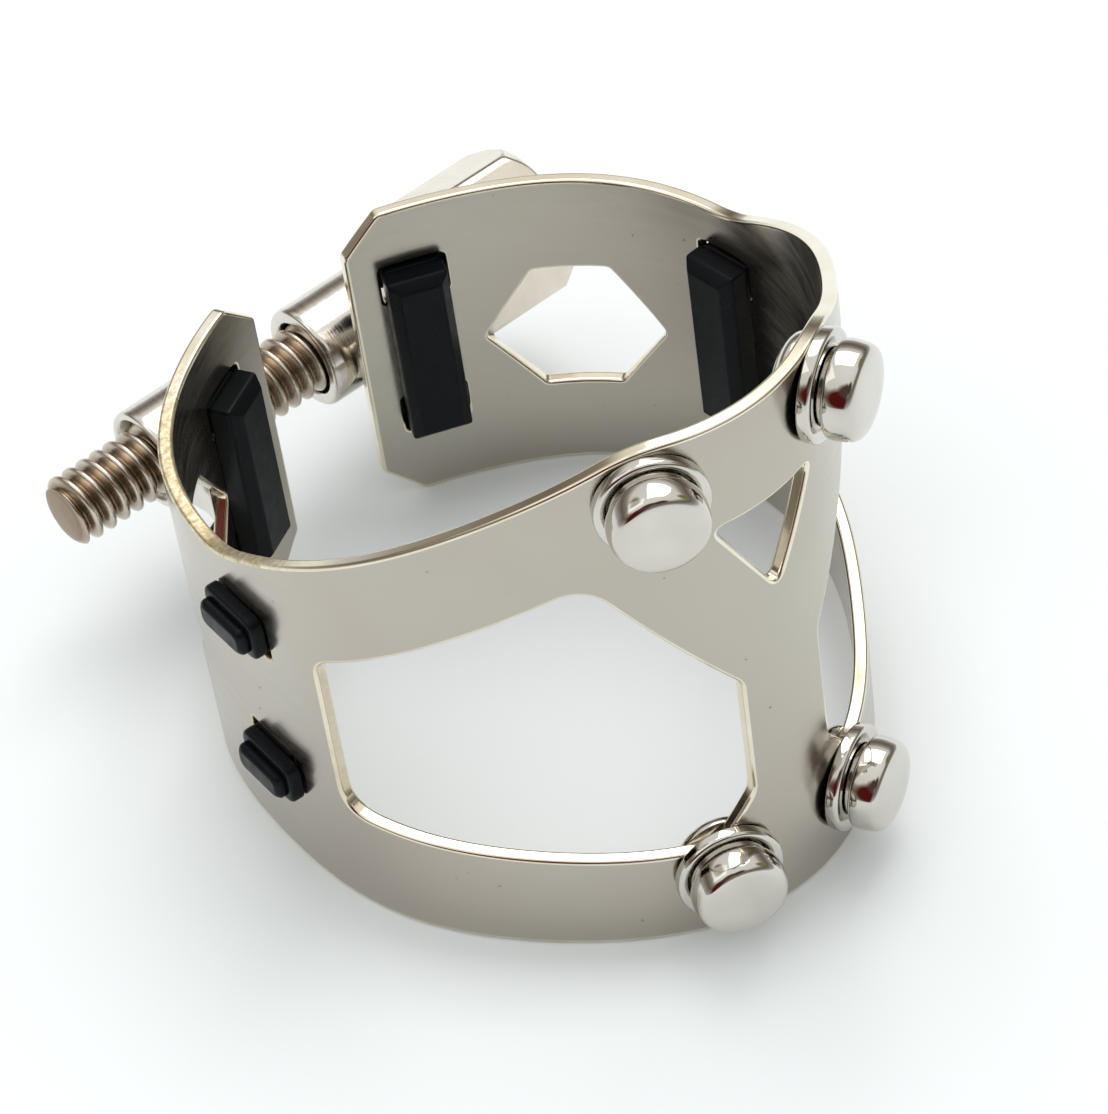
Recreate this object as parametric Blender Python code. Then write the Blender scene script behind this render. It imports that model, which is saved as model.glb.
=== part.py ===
"""Single-screw metal ligature for a saxophone mouthpiece, standing on its lower rim.

The ring's axis is +Z, the reed plate faces -Y and the gap in the band faces +Y.
Dimensions are in millimetres from the ring's axis. They become metres, measured from
the middle of the object's footprint, when each object is made.
"""

import math

import bmesh
import bpy
import numpy as np
from mathutils import Matrix, Vector
from mathutils.geometry import delaunay_2d_cdt

MM = 0.001
FOOTPRINT_MIDDLE = (0.876, 0.046, 0.0)

# Rolled band: middle of the sheet, every 30 degrees from the reed plate towards +X.
PLAN_RADII = (16.2, 14.5, 13.6, 13.9, 13.7, 12.8, 12.8, 12.4, 12.3, 12.1, 13.2, 14.6)
SHEET = 0.6
WING_HEIGHT = 15.3
REED_HEIGHT = 25.4
REED_TOP_HALF = 4.7
WING_START = 23.6
END_LEFT = -39.9
END_RIGHT = 41.0
END_CHAMFER = 1.7

# Reed plate: the strut's outline is what the two large windows leave.
WINDOW_SIDE = 18.1
WINDOW_SIDE_TOP = 13.2
WINDOW_SIDE_BOTTOM = 5.2
WINDOW_PEAK = 6.9
WINDOW_PEAK_TOP = 19.3
REED_CENTRE = 0.25
STRUT_HALF = 1.95
STRUT_TOP = 12.5
STRUT_FOOT = 6.6
WINDOW_SILL = 4.4
WINDOW_SILL_START = 3.6
WINDOW_ROUND = 1.3
WINDOW_PEAK_ROUND = 1.5
STRUT_ROUND = 1.0
TRIANGLE_HALF = 2.4
TRIANGLE_TOP = 20.6
TRIANGLE_BOTTOM = 16.3
TRIANGLE_ROUND = 0.35

# Small hexagonal windows in the wings.
HEX_CENTRE_S = 31.6
HEX_CENTRE_Z = 7.5
HEX_HALF_WIDTH = 3.95
HEX_HALF_FLAT = 1.65
HEX_HALF_HEIGHT = 3.15
HEX_ROUND = 0.3

# Rubber pads, by distance along the band from the reed plate's middle.
PAD_LEFT_END_S = -36.8
PAD_LEFT_SIDE_S = -22.2
PAD_RIGHT_SIDE_S = 24.0
PAD_RIGHT_END_S = 38.2
PAD_END_Z = 8.0
PAD_SIDE_Z = 8.95
PAD_LENGTH = 8.6
PAD_WIDTH = 2.6
PAD_THICK = 1.15
PAD_BEVEL = 0.4
PAD_END_BEVEL = 0.55
PAD_BACK_GAP = 0.18
TAB_OFFSET_Z = 3.55
HEAD_OFFSET_Z = 3.85
SLOT_WIDTH = 2.8
SLOT_HEIGHT = 1.9
TAB_WIDTH = 2.5
TAB_HEIGHT = 1.1
TAB_GAP = 0.1
HEAD_EASE = 0.12
HEAD_UNDER_EASE = 0.08
HEAD_HALF_LENGTH = 1.65
HEAD_HALF_HEIGHT = 1.0
HEAD_CORNER = 0.3
HEAD_THICK = 0.55
RIDGE_THICK = 0.5
RIDGE_HALF_LENGTH = 1.35
RIDGE_HALF_HEIGHT = 0.7
RIDGE_CORNER = 0.4

# Rivet studs on the reed plate.
STUD_PLACES = {
    "upper_left": (-4.2, 23.0),
    "upper_right": (3.7, 23.3),
    "lower_left": (-3.1, 3.2),
    "lower_right": (3.2, 3.2),
}
STUD_HOLE_R = 0.8
STUD_SHANK_R = 0.7
STUD_DOME_R = 1.8
STUD_DOME_HIGH = 0.9
STUD_DOME_SEAT = 0.72
WASHER_R = 2.15
WASHER_THICK = 0.5
CAP_R = 1.85
CAP_NECK_R = 1.45
CAP_NECK = 0.25
CAP_HIGH = 1.3
CAP_ROUND = 0.5
CAP_UNDER_EASE = 0.2
WASHER_EASE = 0.12
WASHER_TOP_EASE = 0.15

# Screw across the gap, parallel to X.
SCREW_Y = 15.3
SCREW_Z = 7.0
SCREW_R = 1.55
SCREW_ROOT_R = 1.2
SCREW_PITCH = 0.7
SCREW_TIP_X = -10.9
SCREW_TIP_CHAMFER = 0.35
THREAD_END_X = 1.6
THREAD_RUNOUT = 0.3
BARREL_R = 2.3
FOOT_HALF = 1.2
FOOT_END_GAP = 0.3
FOOT_COSINE = -0.1
BARREL_STATIONS = 9
BARREL_CHAMFER = 0.4
LEFT_BARREL_X = (-6.6, -2.1)
RIGHT_BARREL_X = (1.8, 8.3)
LEFT_BORE_R = 1.88
RIGHT_BORE_R = 1.65
FOOT_CLEARANCE = 0.08
KNOB_X = (8.6, 14.4)
KNOB_FLATS_R = 3.2
KNOB_CHAMFER = 0.7
KNOB_SOCKET = 3.6
KNOB_SOCKET_GAP = 0.06
KNOB_FACE_STEPS = (0.0, 0.2, 0.45)
KNOB_FACE_INSET = 0.25
KNOB_FACE_SLOPE = 1.4
KNOB_SEGMENTS = 48

# The left wing turns about an upright axis in the left large window.
HINGE_S = -9.0

COLUMN_STEP = 1.5
COLUMN_START = 0.9
ROW_START = 1.5
EDGE_CLEARANCE = 0.5
ROW_STEP = 4.0
ROUND_SEGMENTS = 24
THREAD_SEGMENTS = 16
THREAD_RINGS_PER_TURN = 4


def clear_scene():
    for obj in list(bpy.data.objects):
        bpy.data.objects.remove(obj, do_unlink=True)


def make_material(name, colour, roughness, metallic):
    material = bpy.data.materials.new(name)
    material.use_nodes = True
    shader = material.node_tree.nodes["Principled BSDF"]
    shader.inputs["Base Color"].default_value = (*colour, 1.0)
    shader.inputs["Roughness"].default_value = roughness
    shader.inputs["Metallic"].default_value = metallic
    return material


def add_object(name, points, faces, material, origin=(0.0, 0.0, 0.0)):
    """A mesh object from points in millimetres, with its origin at the given point."""
    mesh = bpy.data.meshes.new(name)
    shifted = [(Vector(p) - Vector(origin)) * MM for p in points]
    mesh.from_pydata(shifted, [], faces)
    mesh.validate()
    shape = bmesh.new()
    shape.from_mesh(mesh)
    bmesh.ops.recalc_face_normals(shape, faces=shape.faces)
    shape.to_mesh(mesh)
    shape.free()
    mesh.materials.append(material)
    obj = bpy.data.objects.new(name, mesh)
    obj.location = (Vector(origin) - Vector(FOOTPRINT_MIDDLE)) * MM
    bpy.context.scene.collection.objects.link(obj)
    return obj


def shade(obj, degrees=35.0):
    bpy.context.view_layer.objects.active = obj
    obj.data.shade_smooth()
    obj.data.set_sharp_from_angle(angle=math.radians(degrees))


def add_axis(name, point):
    """An empty that marks a moving body's joint axis."""
    axis = bpy.data.objects.new(name, None)
    axis.location = (Vector(point) - Vector(FOOTPRINT_MIDDLE)) * MM
    axis.empty_display_size = 2 * MM
    bpy.context.scene.collection.objects.link(axis)
    return axis


def attach(obj, axis):
    bpy.context.view_layer.update()
    obj.parent = axis
    obj.matrix_parent_inverse = axis.matrix_world.inverted()


def plan_table():
    """Arc length, position and outward direction along the middle of the sheet."""
    coefficients = np.fft.rfft(np.array(PLAN_RADII)) / len(PLAN_RADII)
    angles = np.linspace(-math.pi, math.pi, 2881)
    radius = np.full_like(angles, coefficients[0].real)
    for order in range(1, len(coefficients)):
        factor = 1.0 if order == len(coefficients) - 1 else 2.0
        wave = coefficients[order] * np.exp(1j * order * angles)
        radius = radius + factor * wave.real
    x = radius * np.sin(angles)
    y = -radius * np.cos(angles)
    lengths = np.concatenate([[0.0], np.cumsum(np.hypot(np.diff(x), np.diff(y)))])
    lengths -= np.interp(0.0, angles, lengths)
    tangent_x = np.gradient(x, lengths)
    tangent_y = np.gradient(y, lengths)
    return lengths, x, y, tangent_y, -tangent_x


PLAN = plan_table()


def on_band(s, z, offset=0.0):
    """The point at arc length s and height z, moved out from the sheet's middle."""
    lengths, x, y, normal_x, normal_y = PLAN
    nx = np.interp(s, lengths, normal_x)
    ny = np.interp(s, lengths, normal_y)
    size = math.hypot(nx, ny)
    px = np.interp(s, lengths, x) + offset * nx / size
    py = np.interp(s, lengths, y) + offset * ny / size
    return Vector((px, py, z))


def band_frame(s, z):
    """Local axes on the band: along the sheet, up, and outwards."""
    outward = (on_band(s, z, 1.0) - on_band(s, z, 0.0)).normalized()
    up = Vector((0.0, 0.0, 1.0))
    along = up.cross(outward)
    frame = Matrix((along, up, outward)).transposed().to_4x4()
    frame.translation = on_band(s, z)
    return frame


def rounded(corners, radius, steps=4):
    """A polygon with each corner replaced by an arc; radius may be one per corner."""
    radii = [radius] * len(corners) if isinstance(radius, float) else radius
    result = []
    count = len(corners)
    for index, corner in enumerate(corners):
        here = np.array(corner)
        before = np.array(corners[index - 1]) - here
        after = np.array(corners[(index + 1) % count]) - here
        before_length = np.linalg.norm(before)
        after_length = np.linalg.norm(after)
        cosine = np.dot(before, after) / (before_length * after_length)
        half = math.acos(max(-1.0, min(1.0, cosine))) / 2
        cut = radii[index] / math.tan(half)
        cut = min(cut, 0.45 * before_length, 0.45 * after_length)
        start = here + before / before_length * cut
        end = here + after / after_length * cut
        for step in range(steps + 1):
            t = step / steps
            point = (1 - t) ** 2 * start + 2 * t * (1 - t) * here + t * t * end
            result.append((float(point[0]), float(point[1])))
    return result


def mirrored(polygon):
    return [(-s, z) for s, z in reversed(polygon)]


def band_outline():
    corners = [
        (END_LEFT, END_CHAMFER),
        (END_LEFT + END_CHAMFER, 0.0),
        (END_RIGHT - END_CHAMFER, 0.0),
        (END_RIGHT, END_CHAMFER),
        (END_RIGHT, WING_HEIGHT - END_CHAMFER),
        (END_RIGHT - END_CHAMFER, WING_HEIGHT),
        (WING_START, WING_HEIGHT),
        (REED_TOP_HALF, REED_HEIGHT),
        (-REED_TOP_HALF, REED_HEIGHT),
        (-WING_START, WING_HEIGHT),
        (END_LEFT + END_CHAMFER, WING_HEIGHT),
        (END_LEFT, WING_HEIGHT - END_CHAMFER),
    ]
    radii = [0.5] * 6 + [5.0] * 4 + [0.5] * 2
    return rounded(corners, radii)


def large_window(side):
    """A window beside the strut: side is -1 for the left one and +1 for the right one."""
    corners = [
        (REED_CENTRE + side * STRUT_HALF, STRUT_FOOT),
        (REED_CENTRE + side * WINDOW_SILL_START, WINDOW_SILL),
        (side * WINDOW_SIDE, WINDOW_SIDE_BOTTOM),
        (side * WINDOW_SIDE, WINDOW_SIDE_TOP),
        (side * WINDOW_PEAK, WINDOW_PEAK_TOP),
        (REED_CENTRE + side * STRUT_HALF, STRUT_TOP),
    ]
    radii = [WINDOW_ROUND] * 4 + [WINDOW_PEAK_ROUND, STRUT_ROUND]
    return rounded(corners, radii)


def triangle_window():
    corners = [
        (REED_CENTRE - TRIANGLE_HALF, TRIANGLE_TOP),
        (REED_CENTRE, TRIANGLE_BOTTOM),
        (REED_CENTRE + TRIANGLE_HALF, TRIANGLE_TOP),
    ]
    return rounded(corners, TRIANGLE_ROUND)


def hexagon_window():
    low = HEX_CENTRE_Z - HEX_HALF_HEIGHT
    high = HEX_CENTRE_Z + HEX_HALF_HEIGHT
    corners = [
        (HEX_CENTRE_S - HEX_HALF_WIDTH, HEX_CENTRE_Z),
        (HEX_CENTRE_S - HEX_HALF_FLAT, low),
        (HEX_CENTRE_S + HEX_HALF_FLAT, low),
        (HEX_CENTRE_S + HEX_HALF_WIDTH, HEX_CENTRE_Z),
        (HEX_CENTRE_S + HEX_HALF_FLAT, high),
        (HEX_CENTRE_S - HEX_HALF_FLAT, high),
    ]
    return rounded(corners, HEX_ROUND, 2)


def slot_hole(s, z):
    half_s = SLOT_WIDTH / 2
    half_z = SLOT_HEIGHT / 2
    return [
        (s - half_s, z - half_z),
        (s + half_s, z - half_z),
        (s + half_s, z + half_z),
        (s - half_s, z + half_z),
    ]


def round_hole(s, z, radius):
    steps = [2 * math.pi * k / 16 for k in range(16)]
    return [(s + radius * math.cos(a), z + radius * math.sin(a)) for a in steps]


def pad_places():
    return {
        "left_end": (PAD_LEFT_END_S, PAD_END_Z),
        "left_side": (PAD_LEFT_SIDE_S, PAD_SIDE_Z),
        "right_side": (PAD_RIGHT_SIDE_S, PAD_SIDE_Z),
        "right_end": (PAD_RIGHT_END_S, PAD_END_Z),
    }


def band_holes():
    hexagon = hexagon_window()
    holes = [large_window(-1), large_window(1), triangle_window()]
    holes.extend((hexagon, mirrored(hexagon)))
    for s, z in pad_places().values():
        holes.append(slot_hole(s, z - TAB_OFFSET_Z))
        holes.append(slot_hole(s, z + TAB_OFFSET_Z))
    holes.extend(round_hole(s, z, STUD_HOLE_R) for s, z in STUD_PLACES.values())
    return holes


def resampled(polygon, step):
    """The polygon with extra points along its long edges, so that it can bend."""
    result = []
    for index, start in enumerate(polygon):
        end = polygon[(index + 1) % len(polygon)]
        pieces = max(1, math.ceil(abs(end[0] - start[0]) / step))
        for piece in range(pieces):
            t = piece / pieces
            s = start[0] + (end[0] - start[0]) * t
            z = start[1] + (end[1] - start[1]) * t
            result.append((s, z))
    return result


def inside(polygon, s, z):
    found = False
    for index, (s0, z0) in enumerate(polygon):
        s1, z1 = polygon[index - 1]
        if (z0 > z) != (z1 > z) and s < (s1 - s0) * (z - z0) / (z1 - z0) + s0:
            found = not found
    return found


def distance_to(polygon, s, z):
    best = 1e9
    here = Vector((s, z))
    for index, start in enumerate(polygon):
        a = Vector(start)
        b = Vector(polygon[index - 1])
        t = (here - a).dot(b - a) / max(1e-12, (b - a).length_squared)
        best = min(best, (here - a.lerp(b, min(1.0, max(0.0, t)))).length)
    return best


def make_band(material):
    loops = [resampled(band_outline(), COLUMN_STEP)]
    loops.extend(resampled(hole, COLUMN_STEP) for hole in band_holes())
    points = []
    edges = []
    for loop in loops:
        first = len(points)
        points.extend(loop)
        count = len(loop)
        edges.extend((first + k, first + (k + 1) % count) for k in range(count))
    for s in np.arange(END_LEFT + COLUMN_START, END_RIGHT, COLUMN_STEP):
        for z in np.arange(ROW_START, REED_HEIGHT, ROW_STEP):
            if not inside(loops[0], s, z):
                continue
            if any(inside(hole, s, z) for hole in loops[1:]):
                continue
            if min(distance_to(loop, s, z) for loop in loops) > EDGE_CLEARANCE:
                points.append((float(s), float(z)))
    found = delaunay_2d_cdt([Vector(p) for p in points], edges, [], 1, 1e-6)
    flat = [(p[0], p[1]) for p in found[0]]
    triangles = []
    for triangle in found[2]:
        s = sum(flat[k][0] for k in triangle) / 3
        z = sum(flat[k][1] for k in triangle) / 3
        if inside(loops[0], s, z) and not any(inside(h, s, z) for h in loops[1:]):
            triangles.append(tuple(triangle))
    count = len(flat)
    solid = [on_band(s, z, SHEET / 2) for s, z in flat]
    solid += [on_band(s, z, -SHEET / 2) for s, z in flat]
    faces = list(triangles)
    faces += [tuple(count + k for k in reversed(t)) for t in triangles]
    directed = set()
    for a, b, c in triangles:
        directed.update(((a, b), (b, c), (c, a)))
    for a, b in sorted(directed):
        if (b, a) not in directed:
            faces.append((b, a, count + a, count + b))
    band = add_object("band", solid, faces, material)
    shade(band)
    return band


def spin(profile, segments):
    """A solid of revolution about local Z from (radius, height) pairs, axis to axis."""
    points = []
    faces = []
    rings = []
    for radius, height in profile:
        if radius < 1e-6:
            rings.append([len(points)])
            points.append((0.0, 0.0, height))
            continue
        first = len(points)
        rings.append(list(range(first, first + segments)))
        for k in range(segments):
            angle = 2 * math.pi * k / segments
            points.append((radius * math.cos(angle), radius * math.sin(angle), height))
    pairs = list(zip(rings, rings[1:]))
    if len(rings[0]) > 1:
        pairs.append((rings[-1], rings[0]))
    for low, high in pairs:
        for k in range(segments):
            n = (k + 1) % segments
            if len(low) == 1:
                faces.append((low[0], high[n], high[k]))
            elif len(high) == 1:
                faces.append((low[k], low[n], high[0]))
            else:
                faces.append((low[k], low[n], high[n], high[k]))
    return points, faces


def place(points, frame):
    return [frame @ Vector(p) for p in points]


def rounded_edge(radius, height, fillet, steps=3):
    """Profile points of a rounded outer edge that ends on the top face."""
    result = []
    for step in range(steps + 1):
        angle = math.pi / 2 * step / steps
        r = radius - fillet + fillet * math.cos(angle)
        h = height - fillet + fillet * math.sin(angle)
        result.append((r, h))
    return result


def make_studs(material):
    outer = SHEET / 2 + TAB_GAP / 2
    washer_top = outer + WASHER_THICK
    cap_base = washer_top + TAB_GAP / 2
    made = []
    for place_name, (s, z) in STUD_PLACES.items():
        frame = band_frame(s, z)
        dome_base = -STUD_DOME_SEAT
        dome = []
        for step in range(1, 5):
            angle = math.pi / 2 * step / 4
            r = STUD_DOME_R * math.cos(angle)
            h = dome_base - STUD_DOME_HIGH * math.sin(angle)
            dome.append((r if step < 4 else 0.0, h))
        shank_top = cap_base + CAP_NECK
        profile = list(reversed(dome)) + [
            (STUD_DOME_R, dome_base),
            (STUD_SHANK_R, dome_base),
            (STUD_SHANK_R, shank_top),
            (0.0, shank_top),
        ]
        points, faces = spin(profile, ROUND_SEGMENTS)
        name = "reed_stud_" + place_name
        stud = add_object(name, place(points, frame), faces, material, frame.translation)
        bore = STUD_SHANK_R + TAB_GAP
        washer = [(bore, outer), (WASHER_R - WASHER_EASE, outer)]
        washer.append((WASHER_R, outer + WASHER_EASE))
        washer.append((WASHER_R, washer_top - WASHER_TOP_EASE))
        washer += [(WASHER_R - WASHER_TOP_EASE, washer_top), (bore, washer_top)]
        points, faces = spin(washer, ROUND_SEGMENTS)
        name = "stud_washer_" + place_name
        ring = add_object(name, place(points, frame), faces, material, frame.translation)
        socket_top = shank_top + TAB_GAP
        cap = [(0.0, socket_top), (bore, socket_top), (bore, cap_base)]
        under = cap_base + CAP_NECK
        cap += [(CAP_NECK_R, cap_base), (CAP_NECK_R, under)]
        cap += [(CAP_R - CAP_UNDER_EASE, under), (CAP_R, under + CAP_UNDER_EASE)]
        cap += rounded_edge(CAP_R, under + CAP_HIGH, CAP_ROUND)
        cap.append((0.0, under + CAP_HIGH))
        points, faces = spin(cap, ROUND_SEGMENTS)
        name = "stud_cap_" + place_name
        head = add_object(name, place(points, frame), faces, material, frame.translation)
        for obj in (stud, ring, head):
            shade(obj)
            made.append(obj)
    return made


def rectangle(half_u, half_v, w, centre_v=0.0):
    return [
        (-half_u, centre_v - half_v, w),
        (half_u, centre_v - half_v, w),
        (half_u, centre_v + half_v, w),
        (-half_u, centre_v + half_v, w),
    ]


def octagon(half_u, half_v, corner, w, centre_v):
    """A rectangle with its four corners cut off, as eight points."""
    return [
        (-half_u, centre_v + half_v - corner, w),
        (-half_u, centre_v - half_v + corner, w),
        (-half_u + corner, centre_v - half_v, w),
        (half_u - corner, centre_v - half_v, w),
        (half_u, centre_v - half_v + corner, w),
        (half_u, centre_v + half_v - corner, w),
        (half_u - corner, centre_v + half_v, w),
        (-half_u + corner, centre_v + half_v, w),
    ]


def walls(faces, first, count, levels):
    """Side faces between rings of count points, stacked from the first point."""
    for level in range(levels):
        low = first + level * count
        for k in range(count):
            n = (k + 1) % count
            faces.append((low + k, low + n, low + count + n, low + count + k))


def head_ring(w, centre_v, inset):
    half_u = HEAD_HALF_LENGTH - inset
    half_v = HEAD_HALF_HEIGHT - inset
    return octagon(half_u, half_v, HEAD_CORNER, w, centre_v)


def ridge_ring(w, centre_v, inset):
    half_u = RIDGE_HALF_LENGTH - inset
    half_v = RIDGE_HALF_HEIGHT - inset
    return octagon(half_u, half_v, RIDGE_CORNER, w, centre_v)


def add_tab(points, faces, end, back):
    """Adds a tab and its two-step outside head at one end (-1 or +1) of a pad."""
    tab_v = end * TAB_OFFSET_Z
    head_v = end * HEAD_OFFSET_Z
    outer = SHEET / 2 + TAB_GAP
    top = outer + HEAD_THICK
    first = len(points)
    points.extend(rectangle(TAB_WIDTH / 2, TAB_HEIGHT / 2, back, tab_v))
    points.extend(rectangle(TAB_WIDTH / 2, TAB_HEIGHT / 2, outer, tab_v))
    walls(faces, first, 4, 1)
    head = len(points)
    points.extend(head_ring(outer, head_v, HEAD_UNDER_EASE))
    points.extend(head_ring(outer + HEAD_EASE, head_v, 0.0))
    points.extend(head_ring(top - HEAD_EASE, head_v, 0.0))
    points.extend(head_ring(top, head_v, HEAD_EASE))
    walls(faces, head, 8, 3)
    under = [head + k for k in range(8)]
    faces.extend(bridge(points, under, [[first + 4 + k for k in range(4)]]))
    ridge = len(points)
    points.extend(ridge_ring(top, head_v, 0.0))
    points.extend(ridge_ring(top + RIDGE_THICK - HEAD_EASE, head_v, 0.0))
    points.extend(ridge_ring(top + RIDGE_THICK, head_v, HEAD_EASE))
    walls(faces, ridge, 8, 2)
    faces.append(tuple(ridge + 16 + k for k in range(8)))
    shoulder = [head + 24 + k for k in range(8)]
    faces.extend(bridge(points, shoulder, [[ridge + k for k in range(8)]]))
    return [first + k for k in range(4)]


def bridge(points, outer_ring, inner_rings):
    """Triangles that fill a flat ring of points around one or more inner rings."""
    ring = list(outer_ring)
    edges = [(k, (k + 1) % len(ring)) for k in range(len(ring))]
    holes = []
    for inner in inner_rings:
        first = len(ring)
        size = len(inner)
        edges.extend((first + k, first + (k + 1) % size) for k in range(size))
        ring.extend(inner)
        holes.append([(points[k][0], points[k][1]) for k in inner])
    flat = [Vector((points[k][0], points[k][1])) for k in ring]
    found = delaunay_2d_cdt(flat, edges, [], 1, 1e-7)
    result = []
    for triangle in found[2]:
        u = sum(found[0][k][0] for k in triangle) / 3
        v = sum(found[0][k][1] for k in triangle) / 3
        if not any(inside(hole, u, v) for hole in holes):
            result.append(tuple(ring[found[3][k][0]] for k in triangle))
    return result


def make_pads(material):
    made = []
    back = -SHEET / 2 - PAD_BACK_GAP
    front = back - PAD_THICK
    half_u = PAD_WIDTH / 2
    half_v = PAD_LENGTH / 2
    for place_name, (s, z) in pad_places().items():
        frame = band_frame(s, z)
        points = rectangle(half_u - PAD_BEVEL, half_v - PAD_END_BEVEL, front)
        points += rectangle(half_u, half_v, front + PAD_BEVEL)
        points += rectangle(half_u, half_v, back)
        faces = [(3, 2, 1, 0)]
        walls(faces, 0, 4, 2)
        roots = []
        for end in (-1, 1):
            roots.append(add_tab(points, faces, end, back))
        faces.extend(bridge(points, [8, 9, 10, 11], roots))
        name = "pad_" + place_name
        pad = add_object(name, place(points, frame), faces, material, frame.translation)
        shade(pad, 25.0)
        made.append(pad)
    return made


def band_outer_y(x):
    """How far out in +Y the band's outer face reaches at this x."""
    lengths, plan_x, plan_y, normal_x, normal_y = PLAN
    best = -1e9
    for end in (END_LEFT, END_RIGHT):
        steps = np.linspace(0.6 * end, end, 400)
        outer = [on_band(s, 0.0, SHEET / 2) for s in steps]
        xs = np.array([p.x for p in outer])
        ys = np.array([p.y for p in outer])
        order = np.argsort(xs)
        if xs.min() <= x <= xs.max():
            best = max(best, float(np.interp(x, xs[order], ys[order])))
    return best


def make_barrel(name, span, bore, end_x, material):
    """A tube with a foot that follows the band's outer face; end_x is the band's end."""
    segments = ROUND_SEGMENTS
    start, stop = span
    full_start = start + BARREL_CHAMFER
    full_stop = stop - BARREL_CHAMFER
    xs = [start, *np.linspace(full_start, full_stop, BARREL_STATIONS), stop]
    points = []
    for index, x in enumerate(xs):
        radius = BARREL_R
        if index in (0, len(xs) - 1):
            radius -= BARREL_CHAMFER
        on_foot = abs(x) > abs(end_x) + FOOT_END_GAP and 0 < index < len(xs) - 1
        reach = band_outer_y(x) + FOOT_CLEARANCE if on_foot else None
        for k in range(segments):
            angle = 2 * math.pi * (k + 0.5) / segments
            y = SCREW_Y + radius * math.cos(angle)
            z = SCREW_Z + radius * math.sin(angle)
            if reach is not None and math.cos(angle) < FOOT_COSINE:
                y = min(y, reach)
                z = SCREW_Z + max(-FOOT_HALF, min(FOOT_HALF, z - SCREW_Z))
            points.append((x, y, z))
    inner_first = len(points)
    for x in (start, stop):
        for k in range(segments):
            angle = 2 * math.pi * (k + 0.5) / segments
            y = SCREW_Y + bore * math.cos(angle)
            z = SCREW_Z + bore * math.sin(angle)
            points.append((x, y, z))
    faces = []
    for ring in range(len(xs) - 1):
        for k in range(segments):
            n = (k + 1) % segments
            low = ring * segments
            high = low + segments
            faces.append((low + k, low + n, high + n, high + k))
    last = (len(xs) - 1) * segments
    for k in range(segments):
        n = (k + 1) % segments
        inner_low = inner_first
        inner_high = inner_first + segments
        faces.append((inner_low + k, inner_high + k, inner_high + n, inner_low + n))
        faces.append((inner_low + k, inner_low + n, n, k))
        faces.append((last + k, last + n, inner_high + n, inner_high + k))
    centre = ((start + stop) / 2, SCREW_Y, SCREW_Z)
    barrel = add_object(name, points, faces, material, centre)
    shade(barrel)
    return barrel


def make_screw(material):
    """The shank: a threaded length, then a plain length that ends in the knob."""
    crest = SCREW_R
    step = SCREW_PITCH / THREAD_RINGS_PER_TURN
    rings = [(SCREW_TIP_X, crest - SCREW_TIP_CHAMFER, False)]
    x = SCREW_TIP_X + SCREW_TIP_CHAMFER
    while x < THREAD_END_X:
        rings.append((x, crest, True))
        x += step
    stop = KNOB_X[0] + KNOB_SOCKET - TAB_GAP
    rings.append((THREAD_END_X + THREAD_RUNOUT, crest, False))
    rings.append((stop, crest, False))
    segments = THREAD_SEGMENTS
    points = []
    for x, radius, threaded in rings:
        for k in range(segments):
            angle = 2 * math.pi * k / segments
            if threaded:
                phase = (x / SCREW_PITCH - k / segments) % 1.0
                depth = abs(2 * phase - 1)
                r = SCREW_ROOT_R + (crest - SCREW_ROOT_R) * depth
            else:
                r = radius
            y = SCREW_Y + r * math.cos(angle)
            z = SCREW_Z + r * math.sin(angle)
            points.append((x, y, z))
    faces = [tuple(reversed(range(segments)))]
    for ring in range(len(rings) - 1):
        low = ring * segments
        high = low + segments
        for k in range(segments):
            n = (k + 1) % segments
            faces.append((low + k, low + n, high + n, high + k))
    last = (len(rings) - 1) * segments
    faces.append(tuple(last + k for k in range(segments)))
    centre = (0.0, SCREW_Y, SCREW_Z)
    screw = add_object("screw_shank", points, faces, material, centre)
    shade(screw)
    return screw


def make_knob(material):
    """Hexagonal knob with both ends turned down, and a blind socket for the shank."""
    start, stop = KNOB_X
    length = stop - start
    corner = KNOB_FLATS_R / math.cos(math.pi / 6)
    heights = [*KNOB_FACE_STEPS, KNOB_CHAMFER, length - KNOB_CHAMFER]
    heights += [length - step for step in reversed(KNOB_FACE_STEPS)]
    segments = KNOB_SEGMENTS
    points = []
    for height in heights:
        from_end = min(height, length - height)
        limit = KNOB_FLATS_R - KNOB_FACE_INSET + KNOB_FACE_SLOPE * from_end
        for k in range(segments):
            angle = 2 * math.pi * k / segments
            sector = (angle + math.pi / 6) % (math.pi / 3) - math.pi / 6
            hexagon = KNOB_FLATS_R / math.cos(sector)
            r = min(hexagon, limit, corner)
            points.append((r * math.cos(angle), r * math.sin(angle), height))
    faces = []
    for ring in range(len(heights) - 1):
        low = ring * segments
        high = low + segments
        for k in range(segments):
            n = (k + 1) % segments
            faces.append((low + k, low + n, high + n, high + k))
    last = (len(heights) - 1) * segments
    faces.append(tuple(last + k for k in range(segments)))
    socket = len(points)
    radius = SCREW_R + KNOB_SOCKET_GAP
    for height in (0.0, KNOB_SOCKET):
        for k in range(segments):
            angle = 2 * math.pi * k / segments
            points.append((radius * math.cos(angle), radius * math.sin(angle), height))
    for k in range(segments):
        n = (k + 1) % segments
        top = socket + segments
        faces.append((socket + k, top + k, top + n, socket + n))
        faces.append((k, socket + k, socket + n, n))
    faces.append(tuple(socket + segments + k for k in reversed(range(segments))))
    origin = (start, SCREW_Y, SCREW_Z)
    frame = Matrix(((0, 0, 1), (1, 0, 0), (0, 1, 0))).to_4x4()
    frame.translation = Vector(origin)
    knob = add_object("hex_knob", place(points, frame), faces, material, origin)
    shade(knob)
    return knob


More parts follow.
